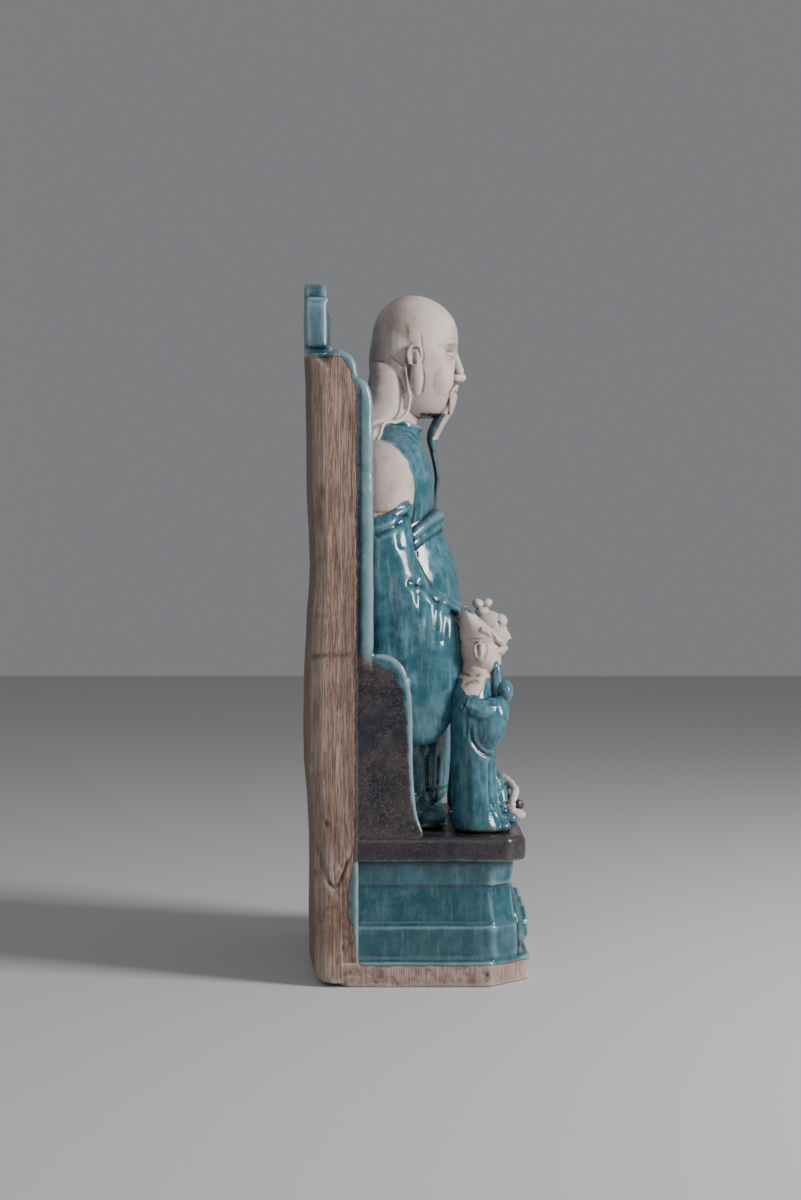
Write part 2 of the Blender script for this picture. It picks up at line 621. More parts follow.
# %% An attendant
def attendant(side, lean, knot):
    x = side * 57

    def tilt(z):
        return lean * max(0, (z - 90) / 80)

    robe = [
        (79.6, 15, -50.6, -20.8), (82, 15.6, -51, -20.2), (87, 14.8, -48.6, -19.8), (95, 13.6, -45.6, -20),
        (106, 12.8, -44.8, -20), (118, 12.8, -44.6, -19.2), (132, 13.8, -44.4, -19.4), (144, 14.8, -43.4, -18.8),
        (152, 14.4, -42.6, -18.8), (158, 12, -42.2, -19.6), (163, 9.8, -42.2, -22), (168, 8.8, -42.4, -24.4),
    ]  # fmt: skip
    forms = [column("robe", "turquoise", [(z, h, f - tilt(z), b - tilt(z)) for z, h, f, b in robe], x=x)]
    y = -35.4 - lean * 1.5
    h = 5 if knot else 0
    forms += [
        column("nape", "bare", [(158, 8, y - 6, y + 9.4), (166 + h / 2, 8, y - 6, y + 9.8), (176 + h, 8.6, y - 6, y + 9.6)], x=x),
        ball("face", "bare", (x, y, 180 + h), (9.8, 10.4, 13 - h / 3)),
        ball("jaw", "bare", (x, y - 3.6, 172 + h), (6.8, 5.8, 5.6 - h / 5)),
        coil("nose", "bare", [(x, y - 9.6, 182.4 + h, 1), (x, y - 10.8, 177.8 + h, 1.7)]),
        coil("lips", "bare", [(x + a, y - 9.4 + abs(a) * 0.4, 172.6 + h, 1.2 - abs(a) * 0.15) for a in (-2.8, 0, 2.8)]),
    ]  # fmt: skip
    for ear in (-1, 1):
        forms += [
            ball("ear", "bare", (x + ear * 9.5, y + 0.8, 178.6 + h), (1.6, 2.8, 5), (0, 0, ear * 12)),
            coil("ear_edge", "bare", [(x + ear * 10.2, y - 1.6, 181.8 + h, 0.7), (x + ear * 10.6, y + 0.8, 183 + h, 0.8),
                                      (x + ear * 10.5, y + 3, 180.6 + h, 0.8), (x + ear * 10, y + 2, 175.4 + h, 0.7)]),
            ball("eyelid", "bare", (x + ear * 4, y - 8.4, 180.4 + h), (2.6, 1.6, 1.5), (0, 0, ear * 20)),
            ball("sleeve_bag", "turquoise", (x + ear * 8.4, -39.2 - lean, 139), (7, 10.6, 15), (14, 0, ear * 8)),
            coil("forearm", "turquoise", [(x + ear * 11, -27 - lean, 150, 5), (x + ear * 10.6, -36 - lean, 146.6, 6.6),
                                          (x + ear * 7.6, -43 - lean, 147, 6), (x + ear * 3, -46.6 - lean, 150.6, 5)]),
        ]  # fmt: skip
    if knot:
        forms += [
            ball("hair_cap", "bare", (x, y + 1.6, 190), (10.4, 10.2, 10.4)),
            ball("fringe", "bare", (x, y - 5, 194), (8, 4.8, 4.6)),
            ball("knot_root", "bare", (x, y + 5.6, 199.6), (5.6, 4.6, 3.4)),
            ball("knot_loop", "bare", (x - 1, y + 8.4, 204.6), (5.2, 3.6, 3), (24, 0, 0)),
            ball("knot_loop", "bare", (x + 1, y + 2.8, 205), (5.2, 3.6, 2.8), (-16, 0, 0)),
            coil("scroll", "turquoise", [(x + 4, -46 - lean, 134, 4.2), (x - 1.4, -46 - lean, 158, 4.2)]),
        ]  # fmt: skip
    else:
        cap = [(182.6, 10, -46, -25), (186, 10.8, -46.4, -24.2), (190.4, 10.6, -43.6, -24.2), (195, 9.4, -37.6, -24.4)]
        cap += [(199, 7.8, -32.8, -24.6), (202, 5.6, -30, -25), (203.6, 3, -28.4, -26)]
        brim = [(-10, -35.4, 191), (-8.6, -41, 188.4), (-4.8, -45.8, 184.6), (0, -47.6, 183), (4.8, -45.8, 184.6)]
        brim += [(8.6, -41, 188.4), (10, -35.4, 191)]
        bundle = [(146, 4.6, -50, -41), (156, 4.4, -49, -41), (164, 3.8, -47.6, -41), (173, 3, -46.6, -42)]
        forms += [
            column("cap", "bare", cap, x=x),
            coil("cap_brim", "bare", [(x + a, b, z, 1.7) for a, b, z in brim]),
            column("bundle", "turquoise", bundle, x=x, square=0.8),
            ball("bundle_knot", "turquoise", (x, -49.2, 156.8), (7.4, 4.9, 6.4)),
        ]  # fmt: skip
    forms += [ball("toe", "turquoise", (x + foot * 5.4, -47, 82.6), (4.6, 5.4, 4)) for foot in (-1, 1)]
    return forms


near_forms = attendant(-1, 0, False)
far_forms = attendant(1, 8, True)
print(len(near_forms), len(far_forms), "attendant forms")

# %% [markdown]
# ## Tortoise and snake
# The tortoise is a steep dome with a dark head at the slab's edge. The snake, left bare, winds over the shell and
# lays its head beside it.

# %% Tortoise and snake
creatures = [
    ball("shell", "turquoise", (0, -40, 80), (22, 17, 33)),
    ball("tortoise_head", "aubergine", (3, -60.4, 88), (3.3, 3.5, 3.2)),
    coil("tortoise_neck", "turquoise", [(2, -50, 86, 4.2), (3, -57.4, 87.4, 2.8)]),
    coil("shell_rim", "turquoise", [(22 * math.sin(a), -40 - 17.2 * math.cos(a), 82.4, 2.6)
                                    for a in np.linspace(0, 2 * math.pi, 17)[:-1]], closed=True),
    coil("snake", "bare", [(-6, -57.4, 83, 3), (-9.4, -55.6, 87.6, 2.5), (-9, -56.8, 93, 2.4), (-5.6, -58, 97.4, 2.4),
                           (1, -54, 101.6, 2.4), (9, -49.6, 103.4, 2.4), (15.4, -44, 100, 2.4), (20.4, -37, 93, 2.2),
                           (22.6, -31, 83, 1.8)]),
    ball("snake_head", "bare", (-5, -58.8, 82.9), (5.4, 5.4, 3.5)),
]  # fmt: skip
creatures += pair(lambda side: ball("paw", "turquoise", (side * 15, -53.6, 82), (5, 5.8, 3.6)))
print(len(creatures), "creature forms")

# %% [markdown]
# ## Luting the forms together
# On the real group the parts are scored, joined with slip and smoothed over with a wet finger. A voxel remesh does
# the same here: the overlapping forms of one piece become one skin, a smoothing pass is the finger, and a slow
# cloud-shaped displacement gives the surface the slight unevenness of pressed clay.

# %% Luting
wobble = bpy.data.textures.new("hand_pressure", "CLOUDS")
wobble.noise_scale = 0.024
wobble.noise_depth = 2


def skins(forms):
    """One search tree for each finish, over the forms that carry it."""
    trees = {}
    for finish in FINISHES:
        points, faces = [], []
        for form in forms:
            if form.data.materials[0].name != "form_" + finish:
                continue
            start = len(points)
            points += [v.co.copy() for v in form.data.vertices]
            faces += [[start + i for i in face.vertices] for face in form.data.polygons]
        trees[finish] = BVHTree.FromPolygons(points, faces) if faces else None
    return trees


def luted(name, forms, voxel, rounds, uneven=0.7):
    """Joins forms into one skin with cells of about voxel mm, and keeps where each finish was."""
    trees = skins(forms)
    deselect()
    for form in forms:
        form.select_set(True)
    bpy.context.view_layer.objects.active = forms[0]
    bpy.ops.object.join()
    piece = bpy.context.object
    piece.name = piece.data.name = name
    piece.data.materials.clear()
    piece.data.remesh_voxel_size = voxel * MM
    piece.data.use_remesh_preserve_volume = True
    bpy.ops.object.voxel_remesh()
    modify(piece, "SMOOTH", factor=0.5, iterations=rounds)
    modify(piece, "DISPLACE", texture=wobble, strength=uneven * MM, mid_level=0.5, texture_coords="LOCAL")
    print(name, len(piece.data.vertices), "points")
    return piece, trees


# %% Reading and moving the skin's points
def places(piece):
    """The piece's points in mm and their normals."""
    count = len(piece.data.vertices)
    spots, facing = np.empty(count * 3), np.empty(count * 3)
    piece.data.vertices.foreach_get("co", spots)
    piece.data.vertices.foreach_get("normal", facing)
    return spots.reshape(-1, 3) / MM, facing.reshape(-1, 3)


def move(piece, spots):
    piece.data.vertices.foreach_set("co", (spots * MM).ravel())
    piece.data.update()


def links(piece):
    """The piece's edges, as pairs of point numbers."""
    ends = np.empty(len(piece.data.edges) * 2, dtype=np.int32)
    piece.data.edges.foreach_get("vertices", ends)
    return ends.reshape(-1, 2)


def blurred(values, ends, times):
    """Values averaged with their neighbours' along the edges, again and again."""
    a, b = ends[:, 0], ends[:, 1]
    count = len(values)
    number = np.bincount(a, minlength=count) + np.bincount(b, minlength=count)
    columns = values.reshape(count, -1).copy()
    for _ in range(times):
        for k in range(columns.shape[1]):
            v = columns[:, k]
            total = np.bincount(a, v[b], count) + np.bincount(b, v[a], count)
            columns[:, k] = 0.5 * v + 0.5 * total / np.maximum(number, 1)
    return columns.reshape(values.shape)


def step(low, high, value):
    """0 below low, 1 above high and a smooth climb between."""
    t = np.clip((value - low) / (high - low), 0, 1)
    return t * t * (3 - 2 * t)


# %% [markdown]
# ## Tooling the surface
# Folds, hair and seams are drawn into the leather-hard clay with a modelling tool. A stroke is a path seen from the
# side or from the front. It presses a valley into every point under it that faces that way, with a low burr on each
# side, and it fades at its ends as a hand does.


# %% Strokes
def away_from(path, spots):
    """How far each spot is from a path, in mm, and how far along the path its nearest point is, 0 to 1."""
    best = np.full(len(spots), 1e9)
    along = np.zeros(len(spots))
    path = np.array(path, dtype=float)
    lengths = np.linalg.norm(np.diff(path, axis=0), axis=1)
    total, done = lengths.sum(), 0
    for start, end, length in zip(path[:-1], path[1:], lengths):
        run = end - start
        t = np.clip(((spots - start) @ run) / max(length**2, 1e-9), 0, 1)
        gap = np.linalg.norm(spots - start - t[:, None] * run, axis=1)
        nearer = gap < best
        best[nearer] = gap[nearer]
        along[nearer] = (done + t[nearer] * length) / total
        done += length
    return best, along


def smooth_path(path, rounds=2):
    """The path with its corners cut, so that a few points make a curve."""
    path = [np.array(p, dtype=float) for p in path]
    for _ in range(rounds):
        cut = [path[0]]
        for a, b in zip(path[:-1], path[1:]):
            cut += [0.75 * a + 0.25 * b, 0.25 * a + 0.75 * b]
        path = cut + [path[-1]]
    return path


def tool(piece, strokes):
    """strokes: view, path, width, depth and the range across the view that it may touch. A depth under 0 raises."""
    spots, facing = places(piece)
    push = np.zeros(len(spots))
    for view, path, width, depth, *reach in strokes:
        axis, flat = {"left": (0, (1, 2)), "right": (0, (1, 2)), "front": (1, (0, 2)), "top": (2, (0, 1))}[view]
        sign = {"left": 1, "right": -1, "front": -1, "top": 1}[view]
        path = smooth_path(path)
        lowest, highest = np.min(path, axis=0) - 3 * width, np.max(path, axis=0) + 3 * width
        seen = facing[:, axis] * sign
        u, v = spots[:, flat[0]], spots[:, flat[1]]
        near = (u > lowest[0]) & (u < highest[0]) & (v > lowest[1]) & (v < highest[1]) & (seen > 0.05)
        if reach:
            near &= (spots[:, axis] >= reach[0][0]) & (spots[:, axis] <= reach[0][1])
        chosen = np.nonzero(near)[0]
        if not len(chosen):
            print("stroke touches nothing:", view, [tuple(np.round(p, 1)) for p in path[:1]])
            continue
        gap, along = away_from(path, np.stack([u[chosen], v[chosen]], axis=1))
        r = gap / width
        fade = np.clip(np.minimum(along, 1 - along) * 6 + 0.25, 0, 1)
        shape = np.exp(-(r**2)) - 0.14 * np.exp(-((r - 1.7) ** 2) * 2.2)
        push[chosen] -= depth * shape * fade * step(0.05, 0.45, seen[chosen])
    move(piece, spots + facing * push[:, None])


def both(view, path, width, depth, *reach):
    """The same side stroke on the figure's right and left, or a front stroke and its mirror image."""
    if view == "side":
        mirrored = [(-r[1], -r[0]) for r in reach]
        return [("right", path, width, depth, *reach), ("left", path, width, depth, *mirrored)]
    return [(view, path, width, depth, *reach), (view, [(-x, z) for x, z in path], width, depth, *reach)]


print("tools ready")

# %% The pieces
plinth_piece, plinth_skin = luted("plinth", plinth, 1.1, 2, 0.8)
throne_piece, throne_skin = luted("throne", throne, 1.2, 3, 1.0)
robe_piece, robe_skin = luted("robe", body, 0.85, 5, 0.9)
head_piece, head_skin = luted("head", face, 0.6, 3, 0.3)
near_piece, near_skin = luted("attendant_near", near_forms, 0.55, 4, 0.5)
far_piece, far_skin = luted("attendant_far", far_forms, 0.55, 4, 0.5)
creature_piece, creature_skin = luted("tortoise_and_snake", creatures, 0.55, 3, 0.4)

# %% [markdown]
# The plank warped a little as it dried and fired: its back is bowed from side to side, it leans in at the height of
# the figure's waist, and the edge it stands on is worn round. The whole back is moved by these amounts, fading out
# towards the front.

# %% Warping the back
LEAN = {0: 3.4, 20: 3, 75: 3, 102: 1.4, 116: 0.1, 158: 0.1, 186: 1.3, 200: 1.8, 214: 3, 228: 3.6, 241: 3, 270: 1.8}
LEAN |= {325: 1.3, 339: 0.7, 353: 0.1, 367: 0, 390: 0}


def warp(piece):
    spots, _ = places(piece)
    x, y, z = np.abs(spots[:, 0]), spots[:, 1], spots[:, 2]
    bow = 3.5 * (x / 53) ** 1.6 + 5 * np.clip((x - 80) / 8, 0, 1) ** 2
    lean = np.interp(z, list(LEAN), list(LEAN.values()))
    worn = 8 * (1 - np.sqrt(1 - np.clip((9 - z) / 9, 0, 1) ** 2))
    spots[:, 1] = y - (bow + lean + worn) * step(30, 64, y)
    move(piece, spots)


warp(plinth_piece)
warp(throne_piece)

# %% Throne and plinth: seams, chips and pits
chance = np.random.default_rng(7)
seams = both("side", [(53, 77), (50.5, 66), (46.5, 56), (43.5, 53), (40.5, 56), (37, 66), (33.5, 77)], 0.9, 1.0)
seams += both("side", [(57, 176), (48, 177.6), (40, 177), (32.6, 178.4)], 1.0, 0.6)
seams += both("side", [(56, 199), (47, 198), (40, 199)], 1.6, 0.3)
seams += both("side", [(47.9, 89), (47.4, 85.6)], 1.1, 0.9)
for _ in range(16):
    y, z = chance.uniform(35, 54), chance.uniform(14, 70)
    seams += both("side", [(y, z), (y + chance.uniform(-1.5, 1.5), z + chance.uniform(-4, 4))], 1.1, 0.45)
for _ in range(10):
    y, z = chance.uniform(34, 54), chance.uniform(90, 330)
    seams += both("side", [(y, z), (y + chance.uniform(-1, 1), z + chance.uniform(6, 22))], 1.4, 0.3)
tool(throne_piece, seams)
chips = []
for _ in range(26):
    y, z = chance.uniform(-40, 46), chance.uniform(1, 10)
    chips += both("side", [(y, z), (y + chance.uniform(-2.5, 2.5), z + chance.uniform(-1, 1))], 0.9, 0.6)
for _ in range(14):
    x, z = chance.uniform(-60, 60), chance.uniform(1, 10)
    chips.append(("front", [(x, z), (x + chance.uniform(-2.5, 2.5), z)], 0.9, 0.6))
tool(plinth_piece, chips)

# %% Robe: creases and folds at the sides
NEAR_SIDE = (-95, -34)
EDGE = [(18.9, 295.8), (13.6, 293.4), (8.7, 289.2), (4.5, 283.7), (1.7, 277.3), (0.3, 270.3), (0.1, 262)]
folds = []
for path, width, depth in [
    ([(1.4, 236), (1, 228.6), (0.3, 223.5), (-1.3, 219.1), (-4.8, 214.1), (-8.6, 209.7), (-13, 205)], 1.7, 1.1),
    ([(3.8, 217.6), (0.9, 216), (-2.4, 214.7)], 2.6, 1.6),
    ([(-1.4, 213), (-2.9, 206), (-2.2, 196)], 2.3, 1.1),
    ([(-7, 207), (-6.6, 198), (-6, 180)], 2.2, 0.9),
    ([(-11.6, 205.5), (-11.8, 198), (-10.4, 182)], 2.0, 0.9),
    ([(-16, 202), (-16.2, 194), (-15, 182)], 2.0, 0.7),
    ([(-18.6, 201), (-22, 198.2), (-26, 196)], 1.7, 1.0),
    ([(24, 243), (21.6, 242.8), (17.9, 243.8), (13.5, 245.6), (9.7, 248), (7, 251.4)], 1.9, 1.2),
    ([(6.4, 252), (8, 244), (6.6, 234)], 2.4, 0.8),
    ([(14, 236), (15, 205), (10, 160)], 5.5, 1.2),
    ([(26, 238), (28, 205), (22, 160)], 5.5, 1.2),
    ([(3, 202), (1.6, 182), (-3, 158)], 3.6, 1.0),
    ([(-14, 121), (-14, 99)], 2.2, 1.2),
    ([(-7, 122), (-8, 99)], 2.2, 1.2),
    ([(0, 122), (-1, 99)], 2.2, 1.0),
    (EDGE, 1.6, -0.5),
]:
    folds += both("side", path, width, depth, NEAR_SIDE)
for k in range(1, 6):
    path = [(20 + (y - 20) * (1 + 0.078 * k), 272 + (z - 272) * (1 + 0.078 * k)) for y, z in EDGE]
    folds += both("side", path, 1.1, 0.2, (-60, -14))

# %% Robe: folds in front
for path, width, depth in [
    ([(20, 190), (12, 177), (0, 172)], 2.2, 1.5),
    ([(24, 180), (14, 163), (0, 157)], 2.4, 1.8),
    ([(26, 166), (15, 147), (0, 141)], 2.4, 1.8),
    ([(26, 150), (15, 131), (0, 125)], 2.4, 1.5),
    ([(30, 160), (31, 97)], 2.2, 1.6),
    ([(39, 160), (40, 97)], 2.2, 1.6),
    ([(47, 160), (48, 97)], 2.0, 1.4),
    ([(21, 128), (22, 97)], 2.0, 1.5),
    ([(12, 118), (13, 97)], 2.0, 1.4),
    ([(4, 112), (4.4, 97)], 1.8, 1.2),
    ([(52, 101.5), (28, 100.5), (0, 100.5)], 1.0, 0.7),
    ([(18, 306), (14, 290), (4, 262)], 1.7, 1.0),
    ([(25, 302), (20, 284), (9, 260)], 1.7, 0.8),
    ([(48, 238), (57, 226), (66, 212)], 2.0, 1.0),
    ([(46, 228), (54, 216), (62, 204)], 2.0, 1.0),
    ([(14, 240), (17, 222), (14, 206)], 3.5, 0.5),
]:
    folds += both("front", path, width, depth)
tool(robe_piece, folds)

# %% [markdown]
# The face is cut with a few quiet lines: a crease above each lid, the line where the lids meet, the corners of the
# nose and the line of the mouth. Fine cracks ran over the ear as the head dried.

# %% Head
cuts = []
for path, width, depth in [
    ([(3.6, up(0.535)), (10.5, up(0.565)), (18, up(0.53))], 1.9, 0.9),
    ([(5, up(0.482)), (10.5, up(0.467)), (16, up(0.488))], 0.7, 0.7),
    ([(5, up(0.523)), (10.5, up(0.541)), (16.4, up(0.52))], 0.6, 0.45),
    ([(4.8, up(0.33)), (8, up(0.27)), (9.4, up(0.2))], 1.1, 0.6),
    ([(5.6, up(0.213)), (2.6, up(0.208)), (0, up(0.211))], 0.7, 0.7),
    ([(39, 305), (44, 288), (46, 262)], 1.0, 0.5),
    ([(43, 303), (48, 286), (49.6, 262)], 1.0, 0.5),
]:
    cuts += both("front", path, width, depth)
for x in (-5.4, -3.3, -1.1, 1.1, 3.3, 5.4):
    cuts.append(("front", [(x * 0.8, 327), (x, 308), (x * 0.85, 285), (x * 0.5, 262)], 0.8, 0.55, (-40, -6)))
for path, width, depth in [
    ([(-3.2, 358.4), (-4, 349.7), (-5, 346.1), (-3.6, 341.1)], 0.6, 0.5),
    ([(15.6, 345.8), (10.9, 342.5), (6.5, 338.9), (4.4, 338.9)], 0.55, 0.55),
    ([(10.9, 347.2), (6.5, 349), (3.6, 349.4)], 0.5, 0.4),
    ([(2.6, 351.4), (-0.7, 351.8)], 0.6, 0.5),
    ([(0.6, 347.5), (0.8, 343.5), (0, 340)], 1.1, 0.9),
    ([(3.2, 339), (4, 333), (2.8, 324)], 0.8, 0.6),
    ([(-4.6, 338), (-5.4, 332), (-3.6, 324.2)], 0.8, 0.6),
]:
    cuts += both("side", path, width, depth)
tool(head_piece, cuts)


# %% Attendants
def attendant_cuts(x, lean):
    """Folds, collar lines and faces, the same from both of an attendant's sides."""
    cuts = []
    h = 5 if lean else 0
    for path, width, depth in [
        ([(-24.4, 151.6), (-27.4, 147.8), (-27.8, 139.4), (-27.4, 131.8)], 1.0, 0.8),
        ([(-28.2, 147), (-29.7, 142.5)], 0.9, 0.6),
        ([(-40.7, 121.2), (-40.4, 112), (-40.7, 100.5), (-41.5, 92)], 0.9, 0.6),
        ([(-42.9, 121.1), (-42.5, 111.8), (-42.9, 98)], 0.8, 0.6),
        ([(-34.4, 121.6), (-34.8, 112.4), (-34.1, 100.9), (-34.6, 88)], 1.4, 0.4),
        ([(-28.2, 124.2), (-27.4, 112.8), (-28.2, 97.5), (-27.4, 84)], 2.0, 0.5),
        ([(-29.9, 139), (-30.3, 131.4), (-33.4, 126), (-37.6, 122.8), (-43.7, 122)], 1.1, 1.1),
        ([(-26, 185), (-31.8, 185.4), (-35.8, 185.3), (-39.5, 186.2)], 0.7, 0.7),
        ([(-33.9, 183), (-34, 179.6), (-34.2, 176)], 0.9, 0.9),
        ([(-38.4, 183), (-39, 178.5), (-37, 174.5)], 0.7, 0.5),
        ([(-40.7, 189.4), (-43.4, 185.4)], 0.7, 0.8),
        ([(-26.4, 166.1), (-30.8, 165.1), (-35.2, 166.1)], 0.7, 0.7),
        ([(-25.9, 160.4), (-29.9, 162.5), (-32.1, 163.3), (-34.3, 161.8)], 0.7, 0.7),
        ([(-27, 170.6), (-33, 171.2), (-38, 169)], 0.9, 0.8),
    ]:
        leaning = [(y - lean * max(0, (z - 90) / 80), z + h * (z > 168)) for y, z in path]
        cuts += [("left", leaning, width, depth), ("right", leaning, width, depth)]
    for run in (-9, -5, -1.5, 1.5, 5, 9):
        cuts.append(("front", [(x + run, 121), (x + run * 1.1, 87)], 1.0, 0.7))
    cuts.append(("front", [(x, 145), (x, 124)], 1.3, 1.6))
    for eye in (-1, 1):
        cuts.append(("front", [(x + eye * a, 180.2 + h - 0.1 * (a - 4) ** 2) for a in (1.8, 4.2, 6.6)], 0.6, 0.6))
        cuts.append(("front", [(x + eye * a, 185 + h - 0.14 * (a - 4.6) ** 2) for a in (1.8, 4.6, 7.4)], 0.8, -0.5))
    cuts.append(("front", [(x - 2.6, 172.4 + h), (x + 2.6, 172.4 + h)], 0.5, 0.6))
    return cuts


tool(near_piece, attendant_cuts(-57, 0))
tool(far_piece, attendant_cuts(57, 8))
tool(
    creature_piece,
    both("front", [(11, 107), (14, 94), (15, 84)], 0.8, 0.7)
    + both("front", [(20, 97), (10, 100), (0, 101)], 0.8, 0.7)
    + both("front", [(21, 88), (10, 91), (0, 91)], 0.8, 0.7)
    + [("front", [(0, 112), (0, 84)], 0.8, 0.6)],
)
print("tooled")

# %% [markdown]
# ## Where the glaze lies
# Each point of a finished skin is measured against the forms it came from. The difference between its distance to
# bare forms and to glazed ones is a field that crosses zero where glaze meets clay, so the material can wander the
# edge. The hollows, where glaze gathers, and the ridges, where it runs thin, are measured by smoothing the shape.


# %% Fields on a skin
def distance(tree, spots):
    if tree is None:
        return np.full(len(spots), 40.0)
    return np.array([tree.find_nearest(Vector(p * MM))[3] for p in spots]) / MM


def keep(piece, name, values):
    layer = piece.data.attributes.new(name, "FLOAT", "POINT")
    layer.data.foreach_set("value", np.clip(values, -9, 9).astype(np.float32))


def inside(outline, spots):
    """How far each spot is inside a closed outline, in mm, and below 0 outside it."""
    gap, _ = away_from([*outline, outline[0]], spots)
    a, b = spots.T
    within = np.zeros(len(spots), dtype=bool)
    for (a0, b0), (a1, b1) in zip(outline, [*outline[1:], outline[0]]):
        within ^= ((b0 > b) != (b1 > b)) & (a < (a1 - a0) * (b - b0) / (b1 - b0 + 1e-12) + a0)
    return np.where(within, gap, -gap)


def marked(spots, facing, marks):
    """Stains, 0 to 1, painted along paths seen from a side or from the front."""
    total = np.zeros(len(spots))
    for view, path, width, strength in marks:
        axis, flat = (0, [1, 2]) if view == "side" else (1, [0, 2])
        gap, _ = away_from(smooth_path(path), spots[:, flat])
        seen = np.abs(facing[:, 0]) if view == "side" else -facing[:, 1]
        total = np.maximum(total, strength * np.exp(-((gap / width) ** 2)) * step(0.1, 0.5, seen))
    return total


def fired(piece, trees, most, zones=None, marks=(), gathers=1.0, deep=0.0, scraped=0.0):
    """Thins the skin to at most so many triangles, then writes its fields. gathers is how strongly glaze pooled in
    the hollows, deep how thick it lies, and scraped how roughly the bare clay was scraped down."""
    triangles = sum(len(face.vertices) - 2 for face in piece.data.polygons)
    if triangles > most:
        modify(piece, "DECIMATE", ratio=most / triangles)
    spots, facing = places(piece)
    ends = links(piece)
    bare, turquoise, aubergine = (distance(trees[f], spots) for f in FINISHES)
    fields = {"glaze": bare - np.minimum(turquoise, aubergine), "dark": turquoise - aubergine}
    fields = {key: blurred(np.clip(value, -9, 9), ends, 4) for key, value in fields.items()}
    fields["stain"] = marked(spots, facing, marks)
    if zones:
        fields = zones(spots, facing, fields)
    fine = np.einsum("ij,ij->i", blurred(spots, ends, 6) - spots, facing)
    broad = np.einsum("ij,ij->i", blurred(spots, ends, 40) - spots, facing)
    fields["pool"] = (np.clip(fine, 0, 1) * 2.5 + np.clip(broad, 0, 2) * 0.9) * gathers
    fields["edge"] = np.clip(-fine, 0, 1) * 3 + np.clip(-broad, 0, 2) * 0.45
    fields["deep"] = np.full(len(spots), deep)
    fields["scraped"] = np.full(len(spots), scraped)
    for key, value in fields.items():
        keep(piece, key, blurred(value, ends, 2))
    deselect()
    bpy.context.view_layer.objects.active = piece
    piece.select_set(True)
    bpy.ops.object.shade_smooth()
    piece.data.materials.append(bpy.data.materials["glazed_biscuit"])
    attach(piece, "root")
    print(piece.name, sum(len(f.vertices) - 2 for f in piece.data.polygons), "triangles")


# %% Which parts were left bare
REACH = {-9: 29, 10: 29.8, 20: 31.5, 30: 33.5, 40: 36, 50: 36.2, 60: 34.5, 69: 33, 82: 32.4, 176: 32.2, 180: 31.6}
REACH |= {318: 31.4, 325: 33.6, 331: 35.8, 335: 39}


def throne_zones(spots, facing, fields):
    """The throne's back and its two outer sides are bare; everything the eye meets from the front is glazed."""
    x, y, z = spots.T
    outer = step(0.35, 0.7, facing[:, 0] * np.sign(x)) * step(76, 80, np.abs(x))
    reach = np.interp(z, list(REACH), list(REACH.values()))
    side = np.minimum(reach - y, 0.8 * (z - 11))
    side = np.where(z > 331, np.maximum(side, z - 336.6), side)
    side = np.where(z > 342, 9, side)
    behind = np.where(z > 342, 63.4, np.where(z > 330, 55, 50)) - y - 3 * step(80, 88, np.abs(x)) * (z < 342)
    fields["glaze"] = np.minimum(behind, outer * side + (1 - outer) * 9)
    shape = [(33, 60), (33, 171), (28, 173), (20, 172.6), (11, 168), (6.6, 158), (4.4, 141), (3, 112), (1, 92), (-6, 78)]
    fields["dark"] = outer * inside([*shape, (-6, 60)], spots[:, 1:]) - (1 - outer) * 9
    fields["dark"] = np.where(z < 86, np.maximum(fields["dark"], np.minimum(83 - z, z - 66.8)), fields["dark"])
    fields["dark"] = np.where(z < 66.8, z - 66.8, fields["dark"])
    return fields


def plinth_zones(spots, facing, fields):
    x, y, z = spots.T
    reach = np.interp(z, list(REACH), list(REACH.values()))
    sides = step(60, 80, np.abs(x)) * (reach - y) + (1 - step(60, 80, np.abs(x))) * 9
    fields["glaze"] = np.minimum(np.minimum(sides, 1.2 * (z - 11.5)), 48 - y)
    fields["dark"] = z - 67.5
    return fields


def robe_zones(spots, facing, fields):
    """The glaze was kept off the shoulders and off the collar's rim."""
    x, y, z = spots.T
    patch = [*EDGE, (0.4, 258.4), (4, 262), (7.6, 260.6), (10.5, 257.8), (15.5, 254.4), (21, 252.2), (27, 251), (40, 251)]
    patch += [(40, 300), (26, 299)]
    outer = step(0.05, 0.3, facing[:, 0] * np.sign(x)) * step(26, 34, np.abs(x))
    bare = outer * inside(patch, spots[:, 1:]) - (1 - outer) * 9
    rim = 306.4 + (y + 3.6) * 0.5 + 0.8 - z
    fields["glaze"] = np.minimum(-bare, np.where(np.abs(x) < 24, np.maximum(rim * 1.5, -9), 9))
    return fields


def head_zones(spots, facing, fields):
    """Only the beard's lower half, which lies on the robe, took some glaze."""
    x, y, z = spots.T
    outer_face = np.interp(z, [296, 300, 307.8, 315], [-10, -10.6, -14.6, -19])
    beard = np.maximum(299.5 - z, np.minimum(y - outer_face, 314 - z))
    fields["glaze"] = np.minimum(np.minimum(beard, -3.4 - y), 12 - np.abs(x))
    return fields


def near_zones(spots, facing, fields):
    """The glaze stops at the neck and leaves a ragged biscuit patch on the outer shoulder."""
    x, y, z = spots.T
    patch = [(-25.4, 172), (-26, 164), (-24.9, 159.6), (-28.1, 155.6), (-34.3, 154.8), (-36.5, 158.5), (-38, 163.2)]
    bare = np.where(x < -58, inside([*patch, (-41.6, 167.6), (-40, 175), (-26, 176)], spots[:, 1:]), -9)
    front = inside([(-48, 150), (-48, 173.4), (-43, 173.4), (-41, 166), (-38, 150)], spots[:, 1:])
    neck = np.where((y < -43.4) & (z < 168), 9, 164 - z)
    field = np.minimum(np.maximum(neck, np.where(front > 0, 4, -9)), -bare)
    spot = 3 - np.linalg.norm(spots - (-61, -29.5, 201), axis=1)
    fields["glaze"] = np.maximum(field, spot)
    fields["dark"] = 82.6 - z
    return fields


